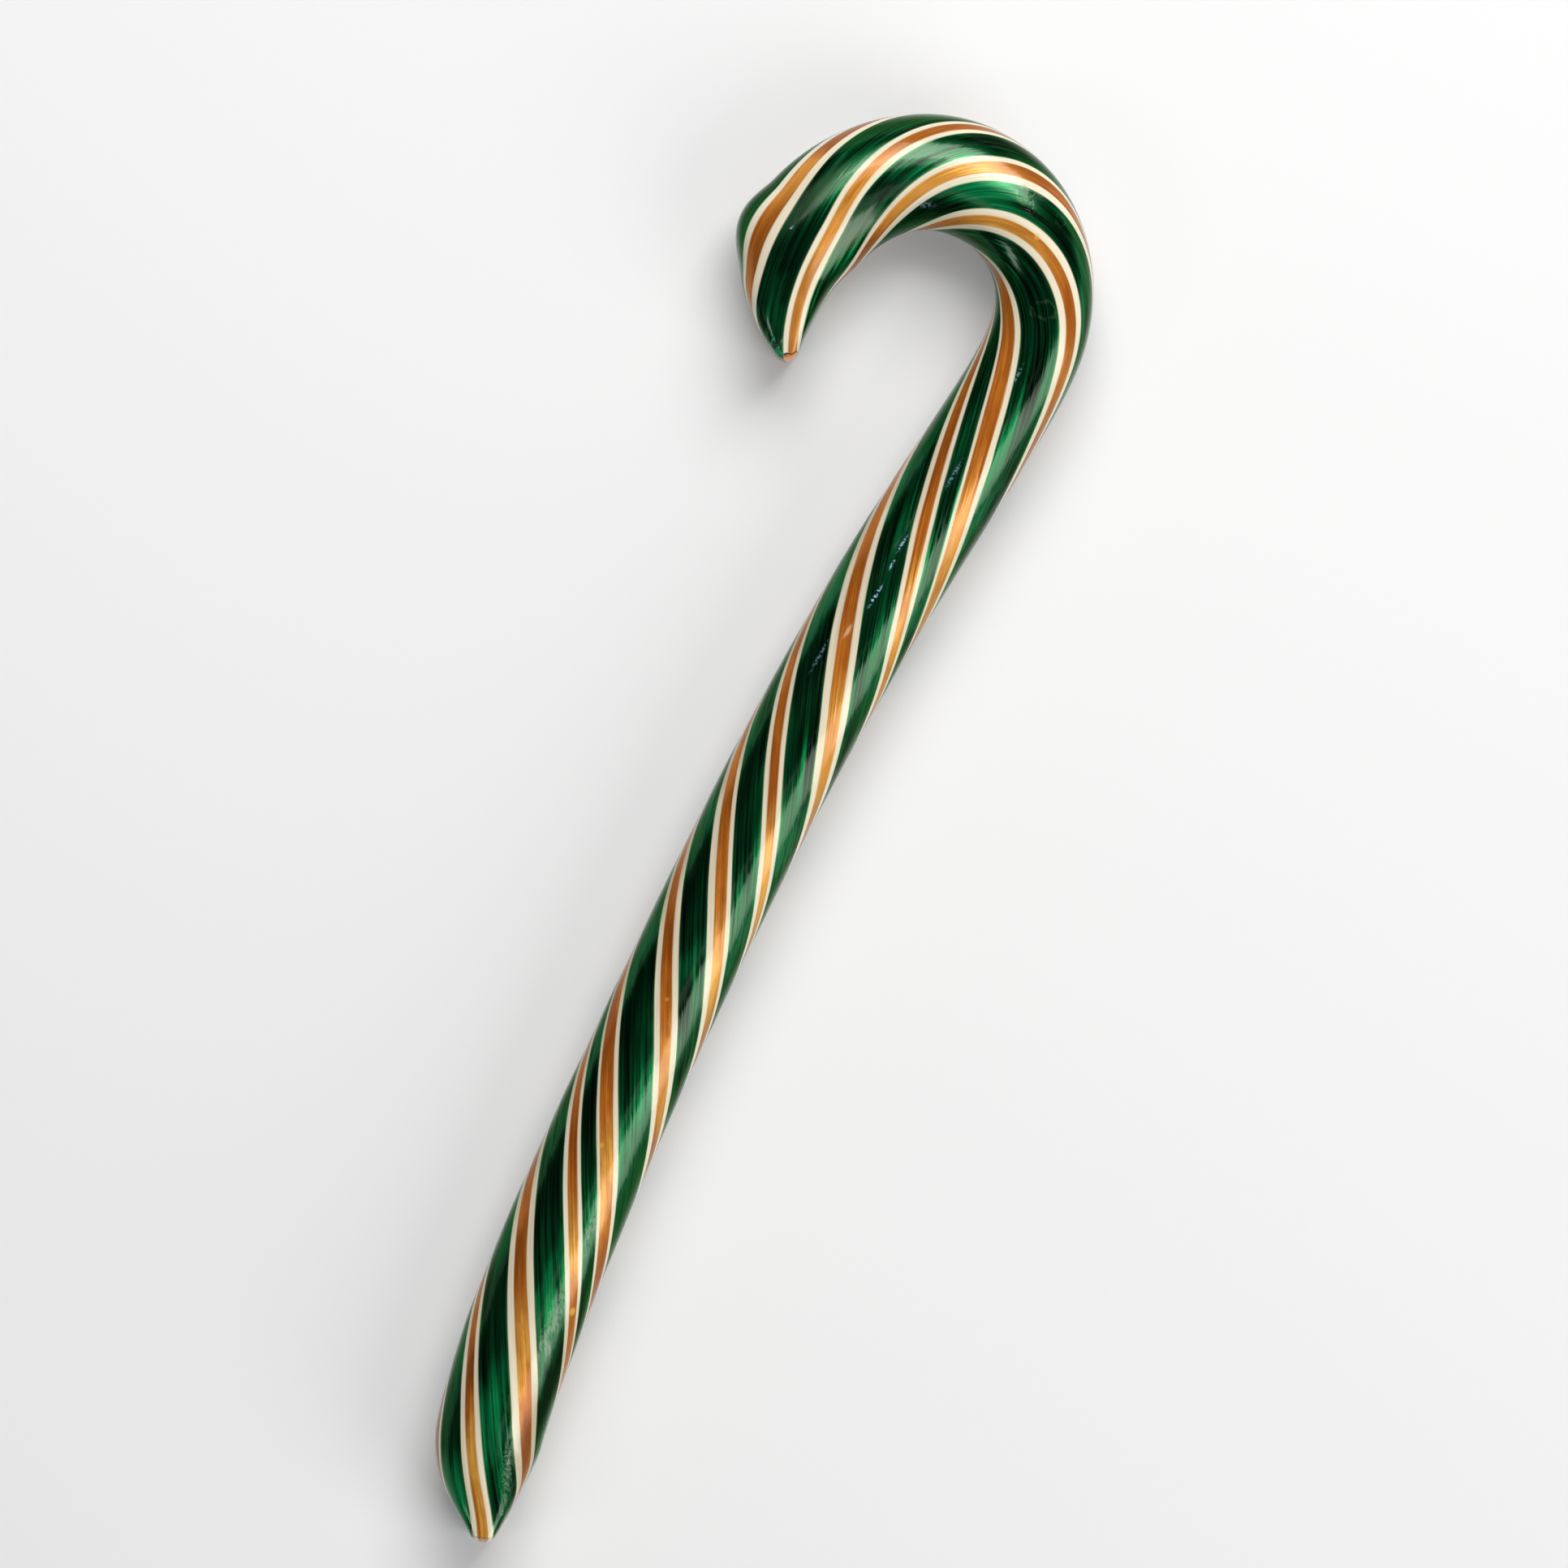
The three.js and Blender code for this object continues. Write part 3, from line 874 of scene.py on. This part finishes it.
# Pits in the green, with a pale sheen of caught light painted into them.
PIT_AND_SHEEN_SPOTS = [
    (30, 31, 7, 12, 0.9), (43, 30, 5, 10, 0.7), (11, 27, 6, 6, 0.45),
    (234.6, 3.0, 0.7, 5, 1.0), (63, 30, 5, 10, 0.35), (190, 30, 4, 16, 0.3),
]
BUBBLES = [(189.9, 18, 0.85, 7.0, 0.30), (185.3, 34, 0.6, 5.0, 0.22), (175.3, 0, 1.1, 12.0, 0.38)]
crumbs = paint.ramp(grain(3.0, 1.8, seed=31.0), 0.47, 0.66)
painted_glints = paint.times(spots(PAINTED_GLINT_SPOTS, wander=1.0), flecks(2600.0, 0.44, 0.54))
pits_and_sheen = paint.times(spots(PIT_AND_SHEEN_SPOTS, wander=4.0), crumbs)
rings = paint.times(spots(BUBBLES, wander=2.0, rim=0.3), flecks(2000.0, 0.40, 0.55))
colour = paint.mixed(painted_glints, colour, PAINTED_GLINT_BLUE)
# Painted sheen: the pale green is mixed in over the pits.
colour = paint.mixed(paint.times(pits_and_sheen, outside), colour, SHEEN_GREEN)
colour = paint.mixed(rings, colour, RING_GREEN)
print(len(PAINTED_GLINT_SPOTS), "glints,", len(PIT_AND_SHEEN_SPOTS), "frosted places and", len(BUBBLES), "bubbles")

# %% [markdown]
# ## The broken nose
#
# The shears chipped the nose: the green beside the amber is splintered, and a dark crack runs across
# the amber with its bare broken face behind it. The chip is under half a millimetre deep, so it is
# colour alone and cuts nothing out of the stick.

# %% The splinters, the crack and the bare face
SHARD_DARK, SHARD_LIGHT = (0.0, 0.03, 0.012), (0.004, 0.25, 0.09)
BARE_AMBER, CRACK_BROWN = (0.80, 0.27, 0.05), (0.03, 0.03, 0.012)
BROKEN_SPOTS = [(236.0, 36, 2.6, 44, 1.0)]
CRACK_AT, CRACK_HALF_WIDTH = 235.95, 0.15
CRACK_WOBBLE = 0.25  # mm that the crack wanders to either side
broken = paint.times(paint.ramp(spots(BROKEN_SPOTS, wander=8.0), 0.15, 0.3), outside)
shards = paint.mixed(flecks(1300.0, 0.38, 0.54), SHARD_DARK, SHARD_LIGHT)
wobble = paint.ramp(flecks(900.0, 0.3, 0.7), 0.0, 1.0, -CRACK_WOBBLE, CRACK_WOBBLE)
past_crack = paint.less(paint.plus(distance, wobble), CRACK_AT)
bare_face = paint.times(paint.ramp(past_crack, 0.0, 0.1), band)
from_crack = paint.math("ABSOLUTE", past_crack)
crack = paint.ramp(from_crack, CRACK_HALF_WIDTH * 0.5, CRACK_HALF_WIDTH, 0.95, 0.0)
colour = paint.mixed(broken, colour, shards)
colour = paint.mixed(bare_face, colour, BARE_AMBER)
colour = paint.mixed(paint.times(crack, band), colour, CRACK_BROWN)
dull = paint.strongest(painted_glints, pits_and_sheen, broken, bare_face)
shine = paint.times(shine, paint.all_but(paint.strongest(dull, painted_reflection)))
print("the crack is", round(LENGTH - CRACK_AT, 2), "mm from the tip of the nose")

# %% [markdown]
# ## The glow from inside
#
# The light doesn't come back from the surface alone: it comes from pulled layers inside, which the
# twist has tilted round the stick. Real layers under a clear body would show this, but they render
# slowly and grainily. Two sets of normals do the same here. The fibres get a normal that leans round
# the stick, each fibre by its own amount. The coat over them gets the true surface, with the low
# waves and pits that a finger would feel.

# %% The tilted fibres
TILT_BACK, TILT_FORWARD = -0.17, 0.22
GLOW_TILT_LOSS = 0.45
round_the_stick = paint.node("ShaderNodeTangent", direction_type="UV_MAP", uv_map="wrap").outputs[0]
surface = paint.node("ShaderNodeNewGeometry").outputs["Normal"]
tilt = paint.ramp(streaks, 0.36, 0.64, TILT_BACK, TILT_FORWARD)
tilt = paint.times(tilt, paint.all_but(paint.times(painted_glow, GLOW_TILT_LOSS)))
leaning = paint.vector("MULTIPLY", round_the_stick, paint.xyz(tilt, tilt, tilt))
fibre_normal = paint.vector("NORMALIZE", paint.vector("ADD", surface, leaning))
print("the fibres lean from", TILT_BACK, "to", TILT_FORWARD)

# %% The waves and pits of the coat
WAVE_DEPTH = 0.05  # mm
PITTED_SPOTS = [
    (31, 30, 8, 17, 1.0), (43, 32, 6, 13, 0.8), (11, 27, 7, 10, 1.0), (64, 30, 7, 14, 0.4),
    (190, 30, 6, 22, 0.5),
]
pitted = paint.times(paint.times(spots(PITTED_SPOTS, wander=6.0), outside), flecks(1600.0, 0.3, 0.7))
waves = paint.plus(paint.times(fibres, 0.35), ropes)
waves = paint.plus(waves, paint.times(paint.plus(pits_and_sheen, broken), 0.8))
waves = paint.plus(waves, pitted)
bump = {"Height": waves, "Distance": WAVE_DEPTH * MM, "Strength": 1.0}
coat_normal = paint.node("ShaderNodeBump", bump).outputs[0]
print(len(PITTED_SPOTS), "pitted places")

# %% [markdown]
# ## The gloss
#
# The skin was rolled smooth while it was warm, so it mirrors a lamp that stands over it. Towards the
# rim of the stick more light goes into the clear sugar, and only at a glancing angle does the mirror
# return. One even coat would mirror the lamps all over. So the weight of the coat follows how far
# the surface faces away, in two ramps.

# %% The shader
FIBRES_SMOOTH, FIBRES_ROUGH = 0.25, 0.34
AMBER_ROUGHER, DULL_ROUGHER = 0.12, 0.25
SUGAR_IOR, COAT_IOR, COAT_ROUGHNESS = 1.5, 1.42, 0.08
GREEN_GLANCE = (0.18, 0.5, 0.18, 1.0)
rough = paint.ramp(fibres, 0.3, 0.7, FIBRES_SMOOTH, FIBRES_ROUGH)
rough = paint.plus(rough, paint.times(amber, AMBER_ROUGHER))
rough = paint.plus(rough, paint.times(dull, DULL_ROUGHER))
facing = paint.node("ShaderNodeLayerWeight").outputs["Facing"]
face_on = paint.ramp(facing, 0.18, 0.36, 1.0, 0.14)
glancing = paint.ramp(facing, 0.50, 0.75, 0.0, 0.6)
# The coat is less glossy where shade is painted into the green.
gloss = paint.times(paint.plus(face_on, glancing), paint.all_but(paint.times(painted_shade, 0.7)))
boiled = {
    "Base Color": colour,
    "Metallic": shine,
    "Roughness": rough,
    "IOR": SUGAR_IOR,
    "Coat Weight": gloss,
    "Specular Tint": GREEN_GLANCE,
    "Coat Roughness": COAT_ROUGHNESS,
    "Coat IOR": COAT_IOR,
    "Normal": fibre_normal,
    "Coat Normal": coat_normal,
}
shader = paint.node("ShaderNodeBsdfPrincipled", boiled).outputs[0]
paint.node("ShaderNodeOutputMaterial", {"Surface": shader})
print(len(pulled_sugar.node_tree.nodes), "nodes paint the sugar")

# %% [markdown]
# ## Rolling the stick
#
# The tree is used once, as a modifier on an empty holder. Its inputs are set by their identifiers,
# before it is first worked out. The result is kept as a plain mesh, because the part that is handed
# on has no modifier on it, and it is moved so that its box lies over the solid's.

# %% The tree at work
UNEVENNESS = 0.12  # mm
holder = bpy.data.objects.new("holder", bpy.data.meshes.new("holder"))
bpy.context.scene.collection.objects.link(holder)
modifier = holder.modifiers.new("sweep", "NODES")
modifier.node_group = twisted_stick
values = {
    "Spine": spine,
    "Section": section,
    "Rings": RINGS,
    "Columns": COLUMNS,
    "Unevenness": UNEVENNESS * MM,
    "Finish": pulled_sugar,
}
for item in twisted_stick.interface.items_tree:
    if item.in_out == "INPUT":
        modifier[item.identifier] = values[item.name]
bpy.context.view_layer.update()
evaluated = holder.evaluated_get(bpy.context.evaluated_depsgraph_get())
mesh = bpy.data.meshes.new_from_object(evaluated)
for helper in (holder, spine, section):
    bpy.data.objects.remove(helper)
print(len(mesh.vertices), "points in the swept stick")

# %% The stick in its place
low = Vector([min(v.co[i] for v in mesh.vertices) for i in range(3)])
high = Vector([max(v.co[i] for v in mesh.vertices) for i in range(3)])
shift = (solid_low + solid_high) / 2 - (low + high) / 2
mesh.transform(Matrix.Translation((shift.x, shift.y, 0)))
stick = bpy.data.objects.new("stick", mesh)
bpy.context.scene.collection.objects.link(stick)
print("moved by", round(1000 * shift.x, 2), "and", round(1000 * shift.y, 2), "mm")

# %% Its faces point outwards
work = bmesh.new()
work.from_mesh(mesh)
bmesh.ops.recalc_face_normals(work, faces=work.faces)
open_edges = sum(not e.is_manifold for e in work.edges)
volume = work.calc_volume()
triangles = sum(len(f.verts) - 2 for f in work.faces)
work.to_mesh(mesh)
work.free()
print(triangles, "triangles,", open_edges, "open edges,", round(volume * 1e6, 2), "cubic centimetres")

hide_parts("candy_cane")
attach(stick, "root")

# %% [markdown]
# ## Where it lies, the camera and the light
#
# The candy lies on a plain white table, and the camera looks straight down on it. Turning the camera
# round its own axis leans the stick to the right. A camera close by would show the stick's sides; it
# stands far off with a long lens, so that every place is seen from straight above.

# %% The camera
IMAGE = 1932  # pixels across the square picture
MM_A_PIXEL = 0.1043
LEAN = 28.0  # degrees that the stick leans to the right in the picture
MIDDLE_OF_VIEW = (13.26, 8.62)  # mm, what the middle of the picture looks at
MIDDLE_HEIGHT = 7.0  # mm, about half the stick's height
CAMERA_DISTANCE = 2.4  # metres
SENSOR = 36.0  # mm
FARTHEST = 10.0  # metres, as far as the camera sees

camera_data = bpy.data.cameras.new("camera")
camera_data.sensor_width = SENSOR
camera_data.lens = SENSOR * CAMERA_DISTANCE / (IMAGE * MM_A_PIXEL * MM)
camera_data.clip_end = FARTHEST
camera = bpy.data.objects.new("camera", camera_data)
view_x, view_y = MIDDLE_OF_VIEW
camera.location = (view_x * MM, view_y * MM, MIDDLE_HEIGHT * MM + CAMERA_DISTANCE)
camera.rotation_euler = (0, 0, math.radians(LEAN))
bpy.context.scene.collection.objects.link(camera)
bpy.context.scene.camera = camera
print("the picture is", round(IMAGE * MM_A_PIXEL, 1), "mm across")

# %% [markdown]
# ## The table
#
# A sheet of matt white card, which takes a soft shadow. A world of white light would keep it as
# bright, but it would also wash the green out. So the card shines a little itself instead.

# %% The white table
TABLE_HALF_SIDE = 3.0  # metres
CARD_WHITE, CARD_ROUGHNESS, CARD_GLOW = (0.71, 0.73, 0.76), 0.9, 0.2


def plain(name, colour, roughness, glow):
    """A finish without gloss that glows a little in its own colour."""
    made = bpy.data.materials.new(name)
    made.use_nodes = True
    sockets = made.node_tree.nodes["Principled BSDF"].inputs
    sockets["Base Color"].default_value = (*colour, 1.0)
    sockets["Roughness"].default_value = roughness
    sockets["Specular IOR Level"].default_value = 0.0
    sockets["Emission Color"].default_value = (*colour, 1.0)
    sockets["Emission Strength"].default_value = glow
    return made


corners = [(-1, -1, 0), (1, -1, 0), (1, 1, 0), (-1, 1, 0)]
table_mesh = bpy.data.meshes.new("table")
table_mesh.from_pydata([Vector(c) * TABLE_HALF_SIDE for c in corners], [], [(0, 1, 2, 3)])
table_mesh.materials.append(plain("white_table", CARD_WHITE, CARD_ROUGHNESS, CARD_GLOW))
table = bpy.data.objects.new("table", table_mesh)
bpy.context.scene.collection.objects.link(table)
print("the table is", 2 * TABLE_HALF_SIDE, "m across")

# %% [markdown]
# ## The lamps
#
# Glossy things are lit by what they mirror. Sun lamps would leave hard dots, so soft boxes stand
# round the candy. Two large ones above it in the picture draw the long light along the stick, one
# at the lower right lights its other flank, a faint one from below fills the dark, and a small one
# on the left leaves a short glint. The room itself is almost dark, which keeps the green deep.

# %% The soft boxes
BOX_DISTANCE = 0.9  # metres from the candy
WARM_WHITE, ROSY_WHITE = (1.0, 0.97, 0.91), (1.0, 0.965, 0.92)
ROOM_LIGHT = 0.03
world = bpy.data.worlds.new("studio")
world.use_nodes = True
room = world.node_tree.nodes["Background"].inputs
room["Color"].default_value = (1.0, 1.0, 1.0, 1.0)
room["Strength"].default_value = ROOM_LIGHT
bpy.context.scene.world = world


def softbox(name, azimuth, elevation, width, height, radiance, tint=WARM_WHITE):
    """A flat lamp that faces the candy. The azimuth runs from the picture's right to its top."""
    data = bpy.data.lights.new(name, "AREA")
    data.shape = "RECTANGLE"
    data.size, data.size_y = width, height
    data.energy = radiance * math.pi * width * height
    data.color = tint
    lamp = bpy.data.objects.new(name, data)
    a, e = math.radians(azimuth + LEAN), math.radians(elevation)
    towards = Vector((math.cos(a) * math.cos(e), math.sin(a) * math.cos(e), math.sin(e)))
    lamp.location = towards * BOX_DISTANCE
    lamp.rotation_euler = towards.to_track_quat("Z", "Y").to_euler()
    bpy.context.scene.collection.objects.link(lamp)
    print(name, "gives", round(data.energy, 2), "W")


softbox("top_box", 74, 45, 0.75, 0.52, 6.1, ROSY_WHITE)
softbox("upper_box", 84, 64, 0.7, 0.3, 2.1, ROSY_WHITE)
softbox("right_box", -36, 27, 0.6, 0.68, 3.4)
softbox("lower_box", -78, 60, 0.75, 0.45, 0.6)
softbox("left_glint", 205, 41, 0.18, 0.2, 4.2)

bpy.context.scene.view_settings.view_transform = "Standard"
